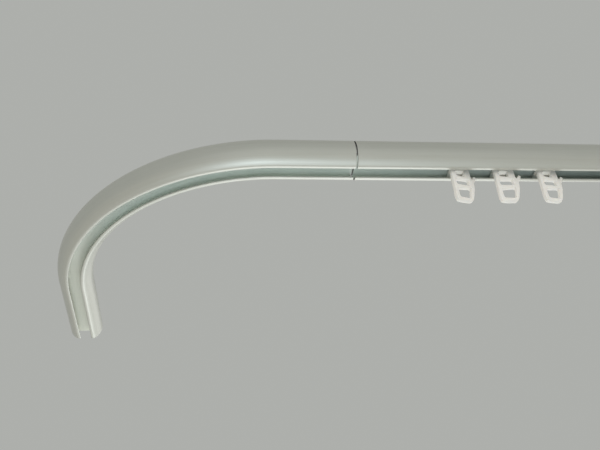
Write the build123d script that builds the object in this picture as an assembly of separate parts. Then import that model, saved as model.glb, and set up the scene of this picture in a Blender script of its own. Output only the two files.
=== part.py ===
from build123d import *
import math
import os

# Bay window curtain rod, corner section: a round aluminium tube with a glider track along its
# underside, one corner bend, one straight tube butted to it, and three gliders with pleat hooks.
# Millimetres. X runs along the straight tube, the bend turns towards +Y, and the slot faces down.
# The origin is on the tube's axis, halfway along the straight stub of the bend, where a wall
# bracket holds it.

# Tube section
tube_diameter = 20.0
tube_wall = 1.0
flat_height = 8.6          # from the tube's axis down to the flat underside
lip_thickness = 1.0
slot_width = 6.7
roof_height = 3.0          # from the tube's axis down to the track's roof
web_thickness = 1.0
lip_edge_radius = 0.3

# Tube lengths
stub_length = 39.2
bend_radius = 110.0        # at the tube's axis
bend_angle = 90.0
arm_length = 57.5
seam_gap = 0.7
straight_length = 160.0

# Splice bar inside the upper chamber, and its grub screws
splice_length = 64.0
splice_clearance = 0.2
splice_core_diameter = 6.0
splice_end_chamfer = 0.8
screw_diameter = 4.0
screw_length = 5.0
screw_clearance = 0.05
tap_run_out = 0.5          # the tapped holes go this far past the screws' inner ends
screw_key = 2.0            # across the flats of the hexagon socket
screw_key_depth = 2.2
access_hole_diameter = 2.8
screw_lean = 50.0          # degrees above the horizontal, on the wall side
screw_spacing = 14.0       # between the two screws of one tube
screw_from_seam = 9.0

# Gliders
glider_first = 74.15
glider_pitch = 23.6
hook_turns = (17.0, 6.0, 12.0)   # degrees, how far each hook is turned about its stem

# Runner, the part of a glider inside the track
runner_length = 9.6
runner_side_clearance = 0.25
runner_floor_clearance = 0.1
runner_top_clearance = 0.35
runner_plate_thickness = 1.2
runner_end_radius = 1.6
ski_gap_beyond_slot = 0.15       # the skis' inner faces stand this far outside the slot's edge
stem_diameter = 2.4
button_diameter = 5.1
button_height = 1.35
button_round = 0.8

# Hook
hook_thickness = 2.4
hook_edge_chamfer = 0.3
head_clearance = 0.25            # under the runner's plate
head_bar_height = 1.2
stem_hole_clearance = 0.2
ring_wall = 1.2
button_top_clearance = 0.15
eye_side_clearance = 0.2
slit_height = 3.0                # open gap left below the button
barb_clearance = 0.3             # from the flat underside down to the barb's tip
head_left = 4.9
head_right = 6.2
hook_length = 22.45              # from the top of the head down to the foot's corner
column_width = 1.6               # of the ladder's sides, level with its upper window
rung_height = 2.0                # between the eye and the upper window
foot_height = 2.45               # below the lower window
barb_height = 4.7                # from the barb's tip down to the throat below it
barb_gap_depth = 2.2             # how far the gap beside the barb reaches below its tip

tube_radius = tube_diameter / 2
bore_radius = tube_radius - tube_wall
track_floor = -flat_height + lip_thickness
web_top = -roof_height + web_thickness
stub_end = stub_length / 2
straight_start = stub_end + seam_gap
seam_x = stub_end + seam_gap / 2
screw_seat = math.sqrt(bore_radius ** 2 - (screw_diameter / 2) ** 2) - screw_clearance


def disc_between(radius, low, high):
    """A disc about the tube's axis, kept only between two heights."""
    band = Pos(0, (low + high) / 2) * Rectangle(2 * radius + 2, high - low)
    return Circle(radius) & band


def tube_section():
    """The extrusion's section: flat underside, slotted track below, closed chamber above."""
    skin = disc_between(tube_radius, -flat_height, tube_radius)
    chamber = disc_between(bore_radius, web_top, bore_radius)
    track = disc_between(bore_radius, track_floor, -roof_height)
    slot = Pos(0, (track_floor - flat_height) / 2) * Rectangle(slot_width, 2 * lip_thickness)
    section = skin - chamber - track - slot
    lip_edges = [
        corner for corner in section.vertices()
        if abs(abs(corner.X) - slot_width / 2) < 0.01
    ]
    return fillet(lip_edges, lip_edge_radius)


def section_across_x(x):
    return Plane(origin=(x, 0, 0), x_dir=(0, 1, 0), z_dir=(1, 0, 0)) * tube_section()


def screw_places(side):
    """Distances along X of the screws on one side of the seam: side is -1 or +1."""
    nearest = seam_x + side * screw_from_seam
    return (nearest, nearest + side * screw_spacing)


def screw_axis_plane(x):
    """Plane at the tube's axis whose normal points out along a grub screw."""
    lean = math.radians(screw_lean)
    return Plane(origin=(x, 0, 0), x_dir=(1, 0, 0), z_dir=(0, math.cos(lean), math.sin(lean)))


def access_holes(side):
    drills = [
        screw_axis_plane(x) * Pos(0, 0, tube_radius) * Cylinder(access_hole_diameter / 2, 3 * tube_wall)
        for x in screw_places(side)
    ]
    return drills


def make_bend_tube():
    stub = extrude(section_across_x(-stub_end), stub_length, dir=(1, 0, 0))
    turn = Axis((-stub_end, bend_radius, 0), (0, 0, -1))
    bend = revolve(section_across_x(-stub_end), turn, bend_angle)
    arm_section = section_across_x(-stub_end).rotate(turn, bend_angle)
    angle = math.radians(bend_angle)
    arm_direction = (-math.cos(angle), math.sin(angle), 0)
    arm = extrude(arm_section, arm_length, dir=arm_direction)
    tube = stub + bend + arm
    for drill in access_holes(-1):
        tube -= drill
    return tube


def make_straight_tube():
    tube = extrude(section_across_x(straight_start), straight_length, dir=(1, 0, 0))
    for drill in access_holes(1):
        tube -= drill
    return tube


def make_splice_bar():
    outer = bore_radius - splice_clearance
    floor = web_top + splice_clearance
    section = disc_between(outer, floor, outer)
    core_height = (floor + outer) / 2
    section -= Pos(0, core_height) * Circle(splice_core_diameter / 2)
    start = Plane(origin=(seam_x - splice_length / 2, 0, 0), x_dir=(0, 1, 0), z_dir=(1, 0, 0))
    bar = extrude(start * section, splice_length, dir=(1, 0, 0))
    ends = bar.faces().filter_by(Axis.X)
    bar = chamfer([edge for face in ends for edge in face.outer_wire().edges()], splice_end_chamfer)
    tap_start = screw_seat - screw_length - tap_run_out
    tap = extrude(Circle(screw_diameter / 2 + screw_clearance), tube_radius - tap_start)
    for x in screw_places(-1) + screw_places(1):
        bar -= screw_axis_plane(x) * Pos(0, 0, tap_start) * tap
    return bar


def make_set_screws():
    """Grub screws backed out of the splice bar until their ends jam against the tube's bore."""
    body = extrude(Circle(screw_diameter / 2), screw_length)
    body = chamfer(body.edges().filter_by(GeomType.CIRCLE), 0.35)
    socket = extrude(RegularPolygon(screw_key / 2, 6, major_radius=False), screw_key_depth)
    body -= Pos(0, 0, screw_length - screw_key_depth) * socket
    screws = [
        screw_axis_plane(x) * Pos(0, 0, screw_seat - screw_length) * body
        for x in screw_places(-1) + screw_places(1)
    ]
    return Compound(children=screws)


plate_top = -roof_height - runner_top_clearance
plate_bottom = plate_top - runner_plate_thickness
head_top = plate_bottom - head_clearance
head_bar_bottom = head_top - head_bar_height
button_top = head_bar_bottom - button_top_clearance
button_bottom = button_top - button_height
eye_bottom = button_bottom - slit_height
barb_top = -flat_height - barb_clearance


def make_runner():
    """A moulded saddle: a plate under the track's roof, two skis on the lips, stem and button."""
    side = bore_radius - runner_side_clearance
    section = disc_between(side, track_floor + runner_floor_clearance, plate_top)
    ski_inside = slot_width / 2 + ski_gap_beyond_slot
    gap_height = plate_bottom - track_floor
    section -= Pos(0, plate_bottom - gap_height / 2) * Rectangle(2 * ski_inside, gap_height)
    start = Plane(origin=(-runner_length / 2, 0, 0), x_dir=(0, 1, 0), z_dir=(1, 0, 0))
    saddle = extrude(start * section, runner_length, dir=(1, 0, 0))
    plan = RectangleRounded(runner_length, 2 * side, runner_end_radius * 2)
    saddle &= Pos(0, 0, track_floor) * extrude(plan, plate_top - track_floor)
    stem = Pos(0, 0, button_top) * extrude(Circle(stem_diameter / 2), plate_bottom - button_top)
    button = Pos(0, 0, button_bottom) * extrude(Circle(button_diameter / 2), button_height)
    rim = button.edges().filter_by(GeomType.CIRCLE).sort_by(Axis.Z)
    button = fillet(rim[0], button_round)
    button = chamfer(button.edges().filter_by(GeomType.CIRCLE).sort_by(Axis.Z)[-1], 0.3)
    return saddle + stem + button


def rounded_outline(corners):
    """A face from (across, drop, corner radius) triples in order round the outline.

    The drop is measured down from the top of the hook's head.
    """
    points = [(across, head_top - drop) for across, drop, radius in corners]
    face = make_face(Polyline(points, close=True))
    for point, (across, drop, radius) in zip(points, corners):
        corner = face.vertices().sort_by_distance((*point, 0))[0]
        face = fillet(corner, radius)
    return face


def hook_outline():
    """The flat hook seen face on: head at the top, barb on the right, rounded foot below."""
    barb_drop = head_top - barb_top
    throat_drop = barb_drop + barb_height
    return rounded_outline([
        (-head_left, 0, 0.5),
        (head_right, 0, 0.5),
        (head_right + 0.15, barb_drop + barb_gap_depth, 0.3),
        (head_right + 0.85, barb_drop + barb_gap_depth, 0.3),
        (head_right + 2.4, barb_drop - 0.15, 0.4),
        (head_right + 3.7, barb_drop + 0.7, 0.5),
        (head_right + 1.2, throat_drop, 1.6),
        (head_right + 0.9, throat_drop + 2.6, 3.0),
        (head_right - 0.7, hook_length - 4.2, 6.0),
        (head_right - 2.6, hook_length - 0.9, 2.0),
        (-head_left - 0.3, hook_length, 2.3),
        (-head_left - 0.65, hook_length - 4.8, 8.0),
    ])


def hook_windows():
    """The eye round the button, and the two windows of the ladder below it."""
    eye = button_diameter / 2 + eye_side_clearance
    eye_drop = head_top - eye_bottom
    left = column_width - head_left
    right = head_right - column_width
    upper = eye_drop + rung_height
    lower = hook_length - foot_height
    return [
        rounded_outline([
            (-eye, head_bar_height, 0.3),
            (eye, head_bar_height, 0.3),
            (eye - 0.1, eye_drop, 0.8),
            (0.1 - eye, eye_drop, 0.8),
        ]),
        rounded_outline([
            (left - 0.1, upper + 0.5, 0.8),
            (right - 0.3, upper - 0.4, 0.8),
            (right - 0.4, upper + 3.2, 1.0),
            (left - 0.1, upper + 3.85, 1.0),
        ]),
        rounded_outline([
            (left - 0.2, lower - 5.9, 0.8),
            (right + 0.3, lower - 7.6, 0.8),
            (right - 1.3, lower - 0.9, 1.4),
            (left, lower, 1.2),
        ]),
    ]


def make_hook():
    face = hook_outline()
    for window in hook_windows():
        face -= window
    front = Plane(origin=(0, -hook_thickness / 2, 0), x_dir=(1, 0, 0), z_dir=(0, -1, 0))
    plate = extrude(front * face, -hook_thickness)
    rims = [
        edge for edge in plate.edges()
        if abs(abs(edge.center().Y) - hook_thickness / 2) < 0.01
    ]
    plate = chamfer(rims, hook_edge_chamfer)
    hole = stem_diameter / 2 + stem_hole_clearance
    ring = Pos(0, 0, head_bar_bottom) * extrude(Circle(hole + ring_wall), head_bar_height)
    drill = Pos(0, 0, head_bar_bottom - 1) * extrude(Circle(hole), head_bar_height + 2)
    return plate + ring - drill


def placed(shape, number):
    return Pos(glider_first + glider_pitch * number, 0, 0) * shape


nodes = {
    "bend_tube": make_bend_tube(),
    "straight_tube": make_straight_tube(),
    "splice_bar": make_splice_bar(),
    "set_screws": make_set_screws(),
}
runner = make_runner()
hook = make_hook()
for number, turn in enumerate(hook_turns):
    nodes[f"runner_{number + 1}"] = placed(runner, number)
    nodes[f"hook_{number + 1}"] = placed(Rot(0, 0, turn) * hook, number)

os.makedirs("parts", exist_ok=True)
for name, shape in nodes.items():
    export_step(shape, f"parts/{name}.step")
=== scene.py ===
import math

import bpy
from mathutils import Matrix, Vector


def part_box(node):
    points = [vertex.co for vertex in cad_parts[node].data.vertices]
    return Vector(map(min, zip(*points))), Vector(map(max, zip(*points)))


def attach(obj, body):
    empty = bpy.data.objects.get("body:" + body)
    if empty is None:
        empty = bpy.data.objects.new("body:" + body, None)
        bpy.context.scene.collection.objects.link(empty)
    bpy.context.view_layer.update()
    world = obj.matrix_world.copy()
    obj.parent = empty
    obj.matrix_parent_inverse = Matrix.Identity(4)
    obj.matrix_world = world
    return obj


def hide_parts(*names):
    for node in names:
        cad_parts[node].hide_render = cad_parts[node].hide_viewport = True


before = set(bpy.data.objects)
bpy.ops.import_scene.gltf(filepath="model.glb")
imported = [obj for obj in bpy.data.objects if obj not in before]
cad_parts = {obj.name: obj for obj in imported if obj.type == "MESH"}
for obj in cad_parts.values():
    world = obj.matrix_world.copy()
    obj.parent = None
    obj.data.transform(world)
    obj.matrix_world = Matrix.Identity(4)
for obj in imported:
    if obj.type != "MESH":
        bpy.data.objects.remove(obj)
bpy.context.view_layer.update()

mm = 0.001
scene = bpy.context.scene


# The view: from below and in front of the rod, looking up along it, as a person under the window
# sees it. The backdrop is the plain pale air behind it, and the floor lies well below the rod.
camera_place = Vector((-62.35, -290.7, -255.9)) * mm
camera_forward = Vector((0.1405, 0.7961, 0.5887)).normalized()
camera_right = Vector((0.9901, -0.1127, -0.0840)).normalized()
camera_focal_px = 771.0
photo_width_px = 600.0
sensor_width = 36.0
floor_height = -1.0
backdrop_colour = (0.42, 0.43, 0.41, 1)
room_light_colour = (1.0, 0.98, 0.92, 1)
room_light_strength = 0.85
floor_colour = (0.60, 0.60, 0.58, 1)
floor_width = 12.0
floor_roughness = 0.8
camera_nearest = 0.01
lamps_aim_at = Vector((0.0, 0.05, 0.0))

camera_data = bpy.data.cameras.new("camera")
camera_data.sensor_width = sensor_width
camera_data.lens = camera_focal_px * sensor_width / photo_width_px
camera_data.clip_start = camera_nearest
camera = bpy.data.objects.new("camera", camera_data)
scene.collection.objects.link(camera)
camera_up = camera_right.cross(camera_forward)
camera_turn = Matrix((camera_right, camera_up, -camera_forward)).transposed()
camera.matrix_world = Matrix.Translation(camera_place) @ camera_turn.to_4x4()
scene.camera = camera
scene.view_settings.view_transform = "Standard"


def add_node(tree, kind, **settings):
    node = tree.nodes.new(kind)
    for name, value in settings.items():
        setattr(node, name, value)
    return node


def larger_of(tree, first, second):
    node = add_node(tree, "ShaderNodeMath", operation="MAXIMUM")
    tree.links.new(first, node.inputs[0])
    tree.links.new(second, node.inputs[1])
    return node.outputs[0]


def seen_directly(tree):
    """One where the eye, a reflection or a clear part sees the surface, and zero for its light."""
    rays = add_node(tree, "ShaderNodeLightPath").outputs
    seen = larger_of(tree, rays["Is Camera Ray"], rays["Is Glossy Ray"])
    return larger_of(tree, seen, rays["Is Transmission Ray"])


room = bpy.data.worlds.new("room")
room.use_nodes = True
scene.world = room
room_tree = room.node_tree
room_tree.nodes.clear()
seen = seen_directly(room_tree)
backdrop = add_node(room_tree, "ShaderNodeBackground")
backdrop.inputs["Color"].default_value = backdrop_colour
backdrop.inputs["Strength"].default_value = 1.0
room_light = add_node(room_tree, "ShaderNodeBackground")
room_light.inputs["Color"].default_value = room_light_colour
room_light.inputs["Strength"].default_value = room_light_strength
room_mix = add_node(room_tree, "ShaderNodeMixShader")
room_out = add_node(room_tree, "ShaderNodeOutputWorld")
room_tree.links.new(seen, room_mix.inputs[0])
room_tree.links.new(room_light.outputs[0], room_mix.inputs[1])
room_tree.links.new(backdrop.outputs[0], room_mix.inputs[2])
room_tree.links.new(room_mix.outputs[0], room_out.inputs["Surface"])


def soft_lamp(name, place, width, power, colour):
    data = bpy.data.lights.new(name, "AREA")
    data.shape = "DISK"
    data.size = width
    data.energy = power
    data.color = colour
    lamp = bpy.data.objects.new(name, data)
    scene.collection.objects.link(lamp)
    lamp.location = place
    lamp.visible_camera = False
    towards_rod = lamps_aim_at - Vector(place)
    lamp.rotation_euler = towards_rod.to_track_quat("-Z", "Y").to_euler()


soft_lamp("window_light", (-0.05, -0.48, -0.72), 0.30, 1.25, (0.86, 1.0, 1.10))
soft_lamp("front_light", (0.05, -1.20, 0.10), 1.2, 0.9, (1.0, 1.0, 0.98))
soft_lamp("wall_light", (0.22, 0.90, -0.70), 0.8, 3.0, (0.95, 1.0, 1.02))
soft_lamp("arm_light", (0.60, 1.10, 0.10), 0.7, 1.2, (1.0, 1.0, 1.0))


def deselect():
    if bpy.context.object and bpy.context.object.mode == "EDIT":
        bpy.ops.object.mode_set(mode="OBJECT")
    bpy.ops.object.select_all(action="DESELECT")


deselect()
bpy.ops.mesh.primitive_plane_add(size=floor_width, location=(0, 0, floor_height))
floor = bpy.context.object
floor.name = "floor"
floor_paint = bpy.data.materials.new("floor_paint")
floor_paint.use_nodes = True
floor_tree = floor_paint.node_tree
floor_shader = floor_tree.nodes["Principled BSDF"]
floor_shader.inputs["Base Color"].default_value = floor_colour
floor_shader.inputs["Roughness"].default_value = floor_roughness
floor.data.materials.append(floor_paint)


# The corner piece of the rod: one length of extruded aluminium, bent once round a former and
# satin anodised. It starts as the straight stub, its end face is swept round the bend, and the
# arm is drawn on from there. Both ends are sawn square and lightly deburred.
rod_radius = 10.0 * mm
rod_bore_radius = 9.0 * mm
rod_flat_height = 8.6 * mm
track_floor_height = 7.6 * mm
track_roof_height = 3.0 * mm
web_top_height = 2.0 * mm
slot_half_width = 3.35 * mm
lip_round = 0.35 * mm
crease_round = 0.55 * mm
rod_facets = 120
bend_radius = 110.0 * mm
bend_steps = 90
arm_length = 57.5 * mm
saw_deburr = 0.12 * mm
access_hole_radius = 1.4 * mm
screw_lean = math.radians(50)
stub_screw_places = (-3.05 * mm, 10.95 * mm)
# Where the painted shade inside the track begins along the straight rod, and where it is full.
painted_shade_from = 40 * mm
painted_shade_full = 195 * mm
bend_middle = -100 * mm
bend_finish = -160 * mm
near = 0.01 * mm
cut_precision = 0.0001 * mm
track_reach = 9.05 * mm
cutter_overrun = 5 * mm
crease_search_from = 4.5 * mm
long_edge_share = 0.9
round_segments = 4
drill_from_mm = 8
drill_to_mm = 12
square_on = 0.99
merge_distance = 0.001 * mm
bare_slot = 1
track_slot = 2
joint_slot = 3

stub_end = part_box("bend_tube")[1].x
bend_start = -stub_end
arm_end = bend_radius + arm_length


def activate(piece):
    deselect()
    piece.select_set(True)
    bpy.context.view_layer.objects.active = piece


def settle(name):
    """Names the newest piece and puts its place into its mesh."""
    piece = bpy.context.object
    piece.name = name
    piece.data.name = name
    bpy.ops.object.transform_apply(location=True, rotation=True, scale=True)
    return piece


def round_bar(name, radius, start, end, facets):
    """A cylinder between two points."""
    deselect()
    start, end = Vector(start), Vector(end)
    turn = (end - start).to_track_quat("Z", "Y").to_euler()
    bpy.ops.mesh.primitive_cylinder_add(
        vertices=facets, radius=radius, depth=(end - start).length, location=(start + end) / 2,
        rotation=turn)
    return settle(name)


def block(name, low, high):
    deselect()
    low, high = Vector(low), Vector(high)
    bpy.ops.mesh.primitive_cube_add(size=1, location=(low + high) / 2)
    bpy.context.object.scale = high - low
    return settle(name)


def pick(piece, kind, wanted):
    """Selects the vertices, edges or polygons that the test wants, and stays in edit mode."""
    activate(piece)
    scene.tool_settings.mesh_select_mode = (
        kind == "vertices", kind == "edges", kind == "polygons")
    mesh = piece.data
    for elements in (mesh.vertices, mesh.edges, mesh.polygons):
        elements.foreach_set("select", [False] * len(elements))
    for element in getattr(mesh, kind):
        element.select = wanted(element)
    bpy.ops.object.mode_set(mode="EDIT")


def slice_off(piece, point, outward):
    """Cuts away what lies beyond a plane and closes the cut."""
    pick(piece, "polygons", lambda face: True)
    bpy.ops.mesh.bisect(
        plane_co=point, plane_no=outward, use_fill=True, clear_outer=True, threshold=cut_precision)
    bpy.ops.object.mode_set(mode="OBJECT")


def combine(piece, tool, operation):
    """Cuts a tool out of the piece, joins it on, or keeps what both share. The tool is used up."""
    activate(piece)
    change = piece.modifiers.new("combine", "BOOLEAN")
    change.operation = operation
    change.solver = "EXACT"
    change.object = tool
    bpy.ops.object.modifier_apply(modifier=change.name)
    bpy.data.objects.remove(tool)


def ends_of(piece, edge):
    return [piece.data.vertices[i].co for i in edge.vertices]


def slotted_rod(name, start, end):
    """A straight length of the extrusion: closed chamber above, slotted glider track below."""
    rod = round_bar(name, rod_radius, (start, 0, 0), (end, 0, 0), rod_facets)
    slice_off(rod, (0, 0, -rod_flat_height), (0, 0, -1))
    before, after = start - cutter_overrun, end + cutter_overrun
    chamber = round_bar("chamber", rod_bore_radius, (before, 0, 0), (after, 0, 0), rod_facets)
    slice_off(chamber, (0, 0, -web_top_height), (0, 0, -1))
    combine(rod, chamber, "DIFFERENCE")
    track = round_bar("track", rod_bore_radius, (before, 0, 0), (after, 0, 0), rod_facets)
    slice_off(track, (0, 0, -track_roof_height), (0, 0, 1))
    slice_off(track, (0, 0, -track_floor_height), (0, 0, -1))
    combine(rod, track, "DIFFERENCE")
    slot_top = -(track_floor_height + track_roof_height) / 2
    slot = block(
        "slot", (before, -slot_half_width, -rod_radius), (after, slot_half_width, slot_top))
    combine(rod, slot, "DIFFERENCE")

    def lengthwise(edge):
        a, b = ends_of(rod, edge)
        return abs(a.x - b.x) > (end - start) * long_edge_share

    def on_lip(edge):
        a = ends_of(rod, edge)[0]
        beside_slot = abs(abs(a.y) - slot_half_width) < near
        return lengthwise(edge) and beside_slot and a.z < -track_floor_height + near

    def on_crease(edge):
        a = ends_of(rod, edge)[0]
        on_flat = abs(a.z + rod_flat_height) < near
        return lengthwise(edge) and on_flat and abs(a.y) > crease_search_from

    pick(rod, "edges", on_lip)
    bpy.ops.mesh.bevel(offset=lip_round, segments=round_segments, profile=0.5, affect="EDGES")
    pick(rod, "edges", on_crease)
    bpy.ops.mesh.bevel(offset=crease_round, segments=round_segments, profile=0.5, affect="EDGES")
    bpy.ops.object.mode_set(mode="OBJECT")
    return rod


def drill_access_holes(rod, places):
    """Small holes on the wall side, which let a key reach the grub screws inside."""
    out = Vector((0, math.cos(screw_lean), math.sin(screw_lean)))
    for place in places:
        middle = Vector((place, 0, 0))
        drill_start = middle + out * drill_from_mm * mm
        drill_end = middle + out * drill_to_mm * mm
        drill = round_bar("drill", access_hole_radius, drill_start, drill_end, facets=40)
        combine(rod, drill, "DIFFERENCE")


def saw_end(rod, point, outward, finish_slot):
    """Deburrs the rim of a sawn end and gives the bare face its own material slot."""
    point, outward = Vector(point), Vector(outward)

    def on_end(place):
        return abs((place - point).dot(outward)) < near

    uses = {}
    for face in rod.data.polygons:
        if on_end(face.center) and abs(face.normal.dot(outward)) > square_on:
            for key in face.edge_keys:
                uses[key] = uses.get(key, 0) + 1
    pick(rod, "edges", lambda edge: uses.get(tuple(sorted(edge.vertices)), 0) == 1)
    bpy.ops.mesh.bevel(offset=saw_deburr, segments=1, affect="EDGES")
    bpy.ops.object.mode_set(mode="OBJECT")
    for face in rod.data.polygons:
        if on_end(face.center) and abs(face.normal.dot(outward)) > square_on:
            face.material_index = finish_slot


def tidy_shell(piece):
    """Merges doubles and points every face outwards."""
    pick(piece, "polygons", lambda face: True)
    bpy.ops.mesh.remove_doubles(threshold=merge_distance)
    bpy.ops.mesh.normals_make_consistent(inside=False)
    bpy.ops.object.mode_set(mode="OBJECT")


def smooth(piece, angle):
    activate(piece)
    bpy.ops.object.shade_smooth_by_angle(angle=math.radians(angle))


def procedural(name):
    """A new material with an empty principled shader, and its tree."""
    material = bpy.data.materials.new(name)
    material.use_nodes = True
    return material, material.node_tree, material.node_tree.nodes["Principled BSDF"]


def calc(tree, operation, first, second=None):
    node = add_node(tree, "ShaderNodeMath", operation=operation)
    for socket, value in zip(node.inputs, (first, second)):
        if value is None:
            continue
        if isinstance(value, (int, float)):
            socket.default_value = value
        else:
            tree.links.new(value, socket)
    return node.outputs[0]


def object_axes(tree):
    spot = add_node(tree, "ShaderNodeTexCoord").outputs["Object"]
    axes = add_node(tree, "ShaderNodeSeparateXYZ")
    tree.links.new(spot, axes.inputs[0])
    return axes.outputs


def place_on_rod(tree):
    """Distance along the rod, sideways across it and up, which turn with it round the bend."""
    axes = object_axes(tree)
    past_stub = calc(tree, "SUBTRACT", axes["X"], bend_start)
    past_arm = calc(tree, "SUBTRACT", axes["Y"], bend_radius)
    back = calc(tree, "MINIMUM", past_stub, 0.0)
    down = calc(tree, "MINIMUM", past_arm, 0.0)
    reach = calc(tree, "SQRT", calc(
        tree, "ADD", calc(tree, "MULTIPLY", back, back), calc(tree, "MULTIPLY", down, down)))
    across = calc(tree, "SUBTRACT", reach, bend_radius)
    turn = calc(
        tree, "ARCTAN2", calc(tree, "MULTIPLY", back, -1.0), calc(tree, "MULTIPLY", down, -1.0))
    along = calc(tree, "SUBTRACT", calc(tree, "MAXIMUM", past_stub, 0.0), calc(
        tree, "MULTIPLY", turn, bend_radius))
    along = calc(tree, "SUBTRACT", along, calc(tree, "MAXIMUM", past_arm, 0.0))
    return along, across, axes["Z"]


def noise_at(tree, parts, scales, detail, roughness=0.5):
    """Noise on a stretched place, for grain that runs one way."""
    spot = add_node(tree, "ShaderNodeCombineXYZ")
    for part, scale, socket in zip(parts, scales, spot.inputs):
        tree.links.new(calc(tree, "MULTIPLY", part, scale), socket)
    noise = add_node(tree, "ShaderNodeTexNoise")
    noise.inputs["Scale"].default_value = 1.0
    noise.inputs["Detail"].default_value = detail
    noise.inputs["Roughness"].default_value = roughness
    tree.links.new(spot.outputs[0], noise.inputs["Vector"])
    return noise.outputs["Fac"]


def spread(tree, value, low, high, out_low, out_high):
    node = add_node(tree, "ShaderNodeMapRange")
    ends = {"From Min": low, "From Max": high, "To Min": out_low, "To Max": out_high}
    for name, number in ends.items():
        node.inputs[name].default_value = number
    tree.links.new(value, node.inputs["Value"])
    return node.outputs[0]


def blend_colours(tree, factor, first, second):
    node = add_node(tree, "ShaderNodeMix", data_type="RGBA")
    tree.links.new(factor, node.inputs["Factor"])
    colours = [socket for socket in node.inputs if socket.type == "RGBA"]
    for socket, value in zip(colours, (first, second)):
        if isinstance(value, tuple):
            socket.default_value = value
        else:
            tree.links.new(value, socket)
    return [socket for socket in node.outputs if socket.type == "RGBA"][0]


def raise_surface(tree, height, distance, strength, under=None):
    node = add_node(tree, "ShaderNodeBump")
    node.inputs["Distance"].default_value = distance
    node.inputs["Strength"].default_value = strength
    tree.links.new(height, node.inputs["Height"])
    if under is not None:
        tree.links.new(under, node.inputs["Normal"])
    return node.outputs[0]


def satin_rod():
    """Satin anodised aluminium: fine extrusion grain along the rod under a soft etched bloom."""
    material, tree, shader = procedural("satin_anodised_aluminium")
    place = place_on_rod(tree)
    grain = noise_at(tree, place, (22, 2600, 2600), 3)
    bands = noise_at(tree, place, (7, 420, 420), 2)
    cloud = noise_at(tree, place, (28, 60, 60), 2)
    etch = noise_at(tree, place, (5200, 5200, 5200), 1)
    colour = blend_colours(
        tree, spread(tree, grain, 0.3, 0.7, 0, 1), (0.585, 0.595, 0.55, 1), (0.63, 0.64, 0.60, 1))
    colour = blend_colours(tree, spread(tree, bands, 0.35, 0.75, 0, 0.5), colour, (0.56, 0.57, 0.53, 1))
    colour = blend_colours(tree, spread(tree, cloud, 0.4, 0.8, 0, 0.4), colour, (0.65, 0.65, 0.615, 1))
    tree.links.new(colour, shader.inputs["Base Color"])
    tree.links.new(spread(tree, grain, 0.25, 0.75, 0.42, 0.52), shader.inputs["Roughness"])
    bump = raise_surface(tree, grain, 0.004 * mm, 0.5)
    bump = raise_surface(tree, etch, 0.003 * mm, 0.4, bump)
    tree.links.new(bump, shader.inputs["Normal"])
    shader.inputs["Metallic"].default_value = 0.8
    return material


def sawn_metal(name, dark, light):
    """Bare aluminium where the rod was sawn, with the saw's fine parallel marks."""
    material, tree, shader = procedural(name)
    axes = object_axes(tree)
    marks = noise_at(tree, axes, (90, 90, 5200), 3)
    colour = blend_colours(tree, spread(tree, marks, 0.3, 0.7, 0, 1), dark, light)
    tree.links.new(colour, shader.inputs["Base Color"])
    tree.links.new(spread(tree, marks, 0.3, 0.7, 0.28, 0.42), shader.inputs["Roughness"])
    tree.links.new(raise_surface(tree, marks, 0.02 * mm, 0.6), shader.inputs["Normal"])
    shader.inputs["Metallic"].default_value = 1.0
    return material


def dull_track():
    """The inside of the track: duller, with painted shade darkening it along the straight rod, and
    painted light making it paler and warmer towards the arm.
    """
    material, tree, shader = procedural("track_inside")
    place = place_on_rod(tree)
    streaks = noise_at(tree, place, (30, 900, 900), 3)
    cloud = noise_at(tree, place, (90, 200, 200), 2)
    colour = blend_colours(
        tree, spread(tree, streaks, 0.3, 0.7, 0, 1), (0.78, 0.84, 0.80, 1), (0.86, 0.91, 0.87, 1))
    colour = blend_colours(tree, spread(tree, cloud, 0.4, 0.8, 0, 0.5), colour, (0.72, 0.78, 0.75, 1))
    # Painted shade: the track is coloured darker along the straight rod, away from the bend.
    painted_shade = spread(tree, place[0], painted_shade_from, painted_shade_full, 0, 0.8)
    colour = blend_colours(tree, painted_shade, colour, (0.26, 0.31, 0.29, 1))
    # Painted light: the track is coloured paler and warmer through the bend towards the arm, standing
    # in for reflected light.
    painted_arm_light = spread(tree, place[0], bend_middle, bend_finish, 0, 1)
    colour = blend_colours(tree, painted_arm_light, colour, (0.74, 0.76, 0.69, 1))
    tree.links.new(colour, shader.inputs["Base Color"])
    tree.links.new(spread(tree, streaks, 0.3, 0.7, 0.45, 0.6), shader.inputs["Roughness"])
    tree.links.new(raise_surface(tree, streaks, 0.006 * mm, 0.5), shader.inputs["Normal"])
    shader.inputs["Metallic"].default_value = 0.3
    return material


rod_finish = satin_rod()
sawn_finish = sawn_metal("sawn_aluminium", (0.62, 0.62, 0.60, 1), (0.78, 0.78, 0.76, 1))
# The sawn faces at the joint between the rods are coloured near black: this is painted shade for the
# narrow gap.
joint_shade_finish = sawn_metal("painted_joint_shade", (0.04, 0.045, 0.04, 1), (0.10, 0.10, 0.09, 1))
track_finish = dull_track()


def lay_finishes(rod):
    for finish in (rod_finish, sawn_finish, track_finish, joint_shade_finish):
        rod.data.materials.append(finish)


def line_track(rod):
    """Gives the faces inside the track their own finish."""
    for face in rod.data.polygons:
        middle = face.center
        back = min(middle.x - bend_start, 0.0)
        down = min(middle.y - bend_radius, 0.0)
        off_axis = math.hypot(math.hypot(back, down) - bend_radius, middle.z)
        above_lips = middle.z > -track_floor_height - near
        if above_lips and middle.z < -track_roof_height + near and off_axis < track_reach:
            face.material_index = track_slot


def finish_rod(rod, body, node):
    smooth(rod, angle=26)
    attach(rod, body)
    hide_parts(node)


def at_bend_start(face):
    return abs(face.center.x - bend_start) < near and abs(face.normal.x) > square_on


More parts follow.
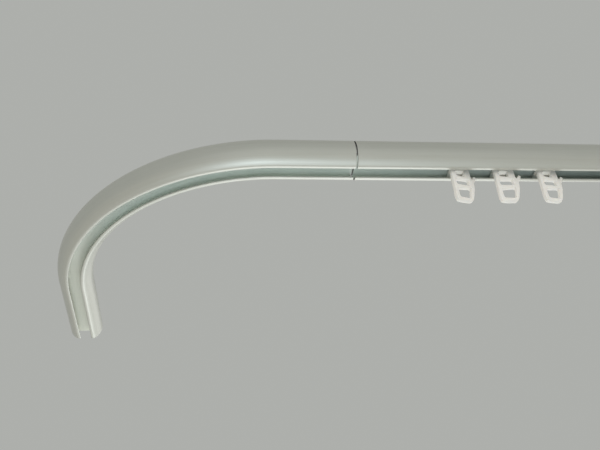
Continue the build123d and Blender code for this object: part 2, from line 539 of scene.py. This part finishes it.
corner_rod = slotted_rod("corner_rod", bend_start, stub_end)
drill_access_holes(corner_rod, stub_screw_places)
pick(corner_rod, "polygons", at_bend_start)
bpy.ops.mesh.spin(
    steps=bend_steps, angle=math.radians(90), center=(bend_start, bend_radius, 0), axis=(0, 0, 1))
bpy.ops.mesh.extrude_region_move(TRANSFORM_OT_translate={"value": (0, arm_length, 0)})
tidy_shell(corner_rod)
lay_finishes(corner_rod)
line_track(corner_rod)
# The end at the joint takes the near-black painted joint shade.
saw_end(corner_rod, (stub_end, 0, 0), (1, 0, 0), joint_slot)
saw_end(corner_rod, (0, arm_end, 0), (0, 1, 0), bare_slot)
finish_rod(corner_rod, "rail", "bend_tube")


# The straight rod: a plain length of the same extrusion, sawn square at both ends and set against
# the corner piece with a narrow gap, with two access holes near the joint.
straight_screw_places = (28.95 * mm, 42.95 * mm)
straight_low, straight_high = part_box("straight_tube")
straight_rod = slotted_rod("straight_rod", straight_low.x, straight_high.x)
drill_access_holes(straight_rod, straight_screw_places)
lay_finishes(straight_rod)
tidy_shell(straight_rod)
line_track(straight_rod)
# The end at the joint takes the near-black painted joint shade.
saw_end(straight_rod, (straight_low.x, 0, 0), (1, 0, 0), joint_slot)
saw_end(straight_rod, (straight_high.x, 0, 0), (1, 0, 0), bare_slot)
finish_rod(straight_rod, "rail", "straight_tube")


# The splice bar that joins the two rods: a D-shaped aluminium extrusion pushed into the upper
# chamber, left in its plain mill finish with die lines along it.
def mill_finish():
    material, tree, shader = procedural("mill_aluminium")
    place = place_on_rod(tree)
    lines = noise_at(tree, place, (14, 3100, 3100), 4)
    cloud = noise_at(tree, place, (120, 160, 160), 3)
    colour = blend_colours(
        tree, spread(tree, lines, 0.3, 0.7, 0, 1), (0.50, 0.50, 0.50, 1), (0.68, 0.68, 0.67, 1))
    colour = blend_colours(tree, spread(tree, cloud, 0.45, 0.8, 0, 0.5), colour, (0.45, 0.45, 0.45, 1))
    tree.links.new(colour, shader.inputs["Base Color"])
    tree.links.new(spread(tree, lines, 0.3, 0.7, 0.26, 0.42), shader.inputs["Roughness"])
    tree.links.new(raise_surface(tree, lines, 0.015 * mm, 0.6), shader.inputs["Normal"])
    shader.inputs["Metallic"].default_value = 1.0
    return material


def give_material(node, material):
    mesh = bpy.data.objects[node].data
    mesh.materials.clear()
    mesh.materials.append(material)


give_material("splice_bar", mill_finish())


# The four grub screws that jam the splice bar in the real rod: zinc plated steel, with a hexagon
# socket in the outer end. Here they have no thread, and they stop a little short of the bore.
def zinc_plate():
    material, tree, shader = procedural("zinc_plated_steel")
    axes = object_axes(tree)
    mottle = noise_at(tree, axes, (900, 900, 900), 3)
    colour = blend_colours(
        tree, spread(tree, mottle, 0.3, 0.7, 0, 1), (0.36, 0.37, 0.39, 1), (0.50, 0.50, 0.50, 1))
    tree.links.new(colour, shader.inputs["Base Color"])
    tree.links.new(spread(tree, mottle, 0.3, 0.7, 0.25, 0.45), shader.inputs["Roughness"])
    tree.links.new(raise_surface(tree, mottle, 0.01 * mm, 0.5), shader.inputs["Normal"])
    shader.inputs["Metallic"].default_value = 1.0
    return material


give_material("set_screws", zinc_plate())


# The runners: small saddles moulded in off-white acetal, each one a plate under the track's roof
# with two skis that slide on the lips, and a stem under it whose button, round with two flats,
# carries the hook.
runner_radius = 8.75 * mm
runner_top = -3.35 * mm
runner_plate_bottom = -4.55 * mm
runner_foot = -7.5 * mm
runner_half_length = 3.7 * mm
runner_corner = 2.2 * mm
ski_inside = 3.5 * mm
stem_radius = 1.2 * mm
button_radius = 2.55 * mm
button_top = -6.15 * mm
button_bottom = -7.45 * mm
button_flat = 1.5 * mm
ski_tip_draw = 0.72
runner_edge_soft = 0.18 * mm
cutter_reach = 9 * mm
plan_top = -2 * mm
stem_top = -4 * mm
stem_sunk = 0.3 * mm
button_edge_soft = 0.3 * mm
glider_places = (74.15 * mm, 97.75 * mm, 121.35 * mm)


def soften(piece, width, segments, angle):
    """Rounds every sharp edge of a moulding a little."""
    activate(piece)
    change = piece.modifiers.new("soften", "BEVEL")
    change.width = width
    change.segments = segments
    change.limit_method = "ANGLE"
    change.angle_limit = math.radians(angle)
    bpy.ops.object.modifier_apply(modifier=change.name)


def moulded_plastic(name, light, dark, sheen_low, sheen_high):
    """Moulded plastic: a faint grain from the mould, slow clouding, and a little dust."""
    material, tree, shader = procedural(name)
    axes = object_axes(tree)
    cloud = noise_at(tree, axes, (160, 160, 160), 3)
    grain = noise_at(tree, axes, (4200, 4200, 4200), 2)
    flow = noise_at(tree, axes, (380, 380, 900), 2)
    colour = blend_colours(tree, spread(tree, cloud, 0.35, 0.75, 0, 1), light, dark)
    tree.links.new(colour, shader.inputs["Base Color"])
    tree.links.new(spread(tree, flow, 0.3, 0.7, sheen_low, sheen_high), shader.inputs["Roughness"])
    bump = raise_surface(tree, flow, 0.02 * mm, 0.3)
    bump = raise_surface(tree, grain, 0.006 * mm, 0.4, bump)
    tree.links.new(bump, shader.inputs["Normal"])
    shader.inputs["Subsurface Weight"].default_value = 0.15
    shader.inputs["Subsurface Radius"].default_value = (1.0, 0.9, 0.75)
    shader.inputs["Subsurface Scale"].default_value = 0.8 * mm
    shader.inputs["IOR"].default_value = 1.48
    return material


def mould_runner():
    reach = runner_half_length
    saddle = round_bar("runner", runner_radius, (-reach, 0, 0), (reach, 0, 0), facets=96)
    slice_off(saddle, (0, 0, runner_top), (0, 0, 1))
    slice_off(saddle, (0, 0, runner_foot), (0, 0, -1))
    gap_low = (-cutter_reach, -ski_inside, -cutter_reach)
    gap = block("gap", gap_low, (cutter_reach, ski_inside, runner_plate_bottom))
    combine(saddle, gap, "DIFFERENCE")
    plan_low = (-reach, -runner_radius, -cutter_reach)
    plan = block("plan", plan_low, (reach, runner_radius, plan_top))

    def upright(edge):
        a, b = ends_of(plan, edge)
        return abs(a.z - b.z) > mm

    pick(plan, "edges", upright)
    bpy.ops.mesh.bevel(offset=runner_corner, segments=8, affect="EDGES")
    bpy.ops.object.mode_set(mode="OBJECT")
    combine(saddle, plan, "INTERSECT")
    pick(saddle, "vertices", lambda vertex: vertex.co.z < runner_foot + near)
    bpy.ops.transform.resize(value=(ski_tip_draw, 1, 1), center_override=(0, 0, 0))
    bpy.ops.object.mode_set(mode="OBJECT")
    soften(saddle, runner_edge_soft, segments=2, angle=40)
    stem_bottom = button_top - stem_sunk
    stem = round_bar("stem", stem_radius, (0, 0, stem_bottom), (0, 0, stem_top), facets=40)
    combine(saddle, stem, "UNION")
    button = round_bar(
        "button", button_radius, (0, 0, button_bottom), (0, 0, button_top), facets=64)
    for side in (-1, 1):
        slice_off(button, (0, side * button_flat, 0), (0, side, 0))
    soften(button, button_edge_soft, segments=3, angle=40)
    combine(saddle, button, "UNION")
    return saddle


def copy_to(pattern, name, place, turn):
    """A copy with its own mesh, turned and moved there, its place put into its mesh."""
    copy = pattern.copy()
    copy.data = pattern.data.copy()
    scene.collection.objects.link(copy)
    copy.location = place
    copy.rotation_euler = (0, 0, turn)
    activate(copy)
    return settle(name)


runner_pattern = mould_runner()
tidy_shell(runner_pattern)
smooth(runner_pattern, angle=35)
runner_pattern.data.materials.append(moulded_plastic(
    "runner_acetal", (0.78, 0.77, 0.73, 1), (0.72, 0.71, 0.67, 1), 0.34, 0.48))
for number, place in enumerate(glider_places, start=1):
    glider = copy_to(runner_pattern, f"glider_{number}", (place, 0, 0), 0)
    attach(glider, f"runner_{number}")
    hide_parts(f"runner_{number}")
bpy.data.objects.remove(runner_pattern)


# The pleat hooks: flat ladders moulded in soft off-white plastic, each turning on its runner's
# stem. The head bar sits above the button and the eye under it clears it, the two windows below
# take the tape's cords, and the barb on the right holds the curtain tape's pocket.
hook_turns = (17.0, 6.0, 12.0)
hook_thickness = 2.4 * mm
hook_columns = 3
hook_rows = 7
hook_edge_soft = 0.5 * mm
hook_net = (
    ((-5.1, -26.75), (-2.5, -27.0), (1.8, -26.7), (3.8, -26.1)),
    ((-5.8, -24.2), (-3.3, -24.6), (3.2, -24.25), (5.15, -23.9)),
    ((-5.5, -19.2), (-3.35, -18.9), (4.9, -17.3), (7.0, -17.9)),
    ((-5.4, -16.4), (-3.35, -16.4), (4.15, -15.7), (7.35, -15.8)),
    ((-5.3, -13.0), (-3.4, -13.0), (4.3, -12.05), (7.5, -13.6)),
    ((-5.2, -10.4), (-2.35, -10.5), (2.3, -10.5), (6.45, -11.0)),
    ((-4.95, -6.0), (-2.75, -5.8), (2.75, -5.8), (6.3, -6.0)),
    ((-4.9, -4.8), (-2.7, -4.8), (2.7, -4.8), (6.2, -4.8)),
)
window_rows = (1, 3, 5)
hook_round_levels = 3
corner_match = 0.05 * mm
barb_root = ((6.45, -11.0), (6.975, -12.3), (7.5, -13.6))
barb_middle = ((7.1, -11.0), (7.85, -11.75), (8.5, -12.4))
barb_tip = ((8.05, -8.95), (9.0, -8.85), (9.85, -9.5))
barb_lean = (3.0, 1.0)
ring_radius = 2.6 * mm
ring_bottom = -6.0 * mm
ring_top = -4.8 * mm
ring_edge_soft = 0.25 * mm
stem_hole_radius = 1.4 * mm
stem_hole_bottom = -8.0 * mm
stem_hole_top = -3.0 * mm


def corner_at(across, height):
    return Vector((across, 0, height)) * mm


def mould_hook():
    deselect()
    bpy.ops.mesh.primitive_grid_add(
        x_subdivisions=hook_columns, y_subdivisions=hook_rows, size=1, rotation=(math.pi / 2, 0, 0))
    plate = settle("hook")
    for row, corners in enumerate(hook_net):
        for column, corner in enumerate(corners):
            number = row * (hook_columns + 1) + column
            here = plate.data.vertices[number].co.copy()
            pick(plate, "vertices", lambda vertex: vertex.index == number)
            bpy.ops.transform.translate(value=corner_at(*corner) - here)
    bpy.ops.object.mode_set(mode="OBJECT")
    window_faces = [row * hook_columns + 1 for row in window_rows]
    pick(plate, "polygons", lambda face: face.index in window_faces)
    bpy.ops.mesh.delete(type="FACE")
    bpy.ops.mesh.select_all(action="SELECT")
    bpy.ops.mesh.subdivide(number_cuts=1)
    bpy.ops.object.mode_set(mode="OBJECT")
    activate(plate)
    change = plate.modifiers.new("thicken", "SOLIDIFY")
    change.thickness = hook_thickness
    change.offset = 0
    bpy.ops.object.modifier_apply(modifier=change.name)
    return plate


def draw_barb(plate, wall, lean, places):
    """Extrudes a stretch of the plate's right edge and moves its new corners into place."""
    def at(place, corner):
        return (Vector((place.x, 0, place.z)) - corner_at(*corner)).length < corner_match

    def on_wall(face):
        corners = [plate.data.vertices[i].co for i in face.vertices]
        return abs(face.normal.y) < 0.5 and all(any(at(c, w) for w in wall) for c in corners)

    pick(plate, "polygons", on_wall)
    bpy.ops.mesh.extrude_region_move(TRANSFORM_OT_translate={"value": corner_at(*lean)})
    for corner, place in zip(wall, places):
        moved = (corner[0] + lean[0], corner[1] + lean[1])
        pick(plate, "vertices", lambda vertex: at(vertex.co, moved))
        bpy.ops.transform.translate(value=corner_at(*place) - corner_at(*moved))
    bpy.ops.object.mode_set(mode="OBJECT")


hook_pattern = mould_hook()
draw_barb(hook_pattern, barb_root, barb_lean, barb_middle)
draw_barb(hook_pattern, barb_middle, barb_lean, barb_tip)
tidy_shell(hook_pattern)
soften(hook_pattern, hook_edge_soft, segments=1, angle=50)
activate(hook_pattern)
subdivision = hook_pattern.modifiers.new("round", "SUBSURF")
subdivision.levels = hook_round_levels
subdivision.render_levels = hook_round_levels
bpy.ops.object.modifier_apply(modifier=subdivision.name)
stem_ring = round_bar(
    "stem_ring", ring_radius, (0, 0, ring_bottom), (0, 0, ring_top), facets=64)
soften(stem_ring, ring_edge_soft, segments=2, angle=40)
combine(hook_pattern, stem_ring, "UNION")
stem_hole = round_bar(
    "stem_hole", stem_hole_radius, (0, 0, stem_hole_bottom), (0, 0, stem_hole_top), facets=48)
combine(hook_pattern, stem_hole, "DIFFERENCE")
smooth(hook_pattern, angle=40)
hook_pattern.data.materials.append(moulded_plastic(
    "hook_plastic_soft", (0.90, 0.88, 0.85, 1), (0.85, 0.83, 0.80, 1), 0.36, 0.5))
for number, (place, turn) in enumerate(zip(glider_places, hook_turns), start=1):
    pleat_hook = copy_to(hook_pattern, f"pleat_hook_{number}", (place, 0, 0), math.radians(turn))
    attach(pleat_hook, f"hook_{number}")
    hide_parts(f"hook_{number}")
bpy.data.objects.remove(hook_pattern)
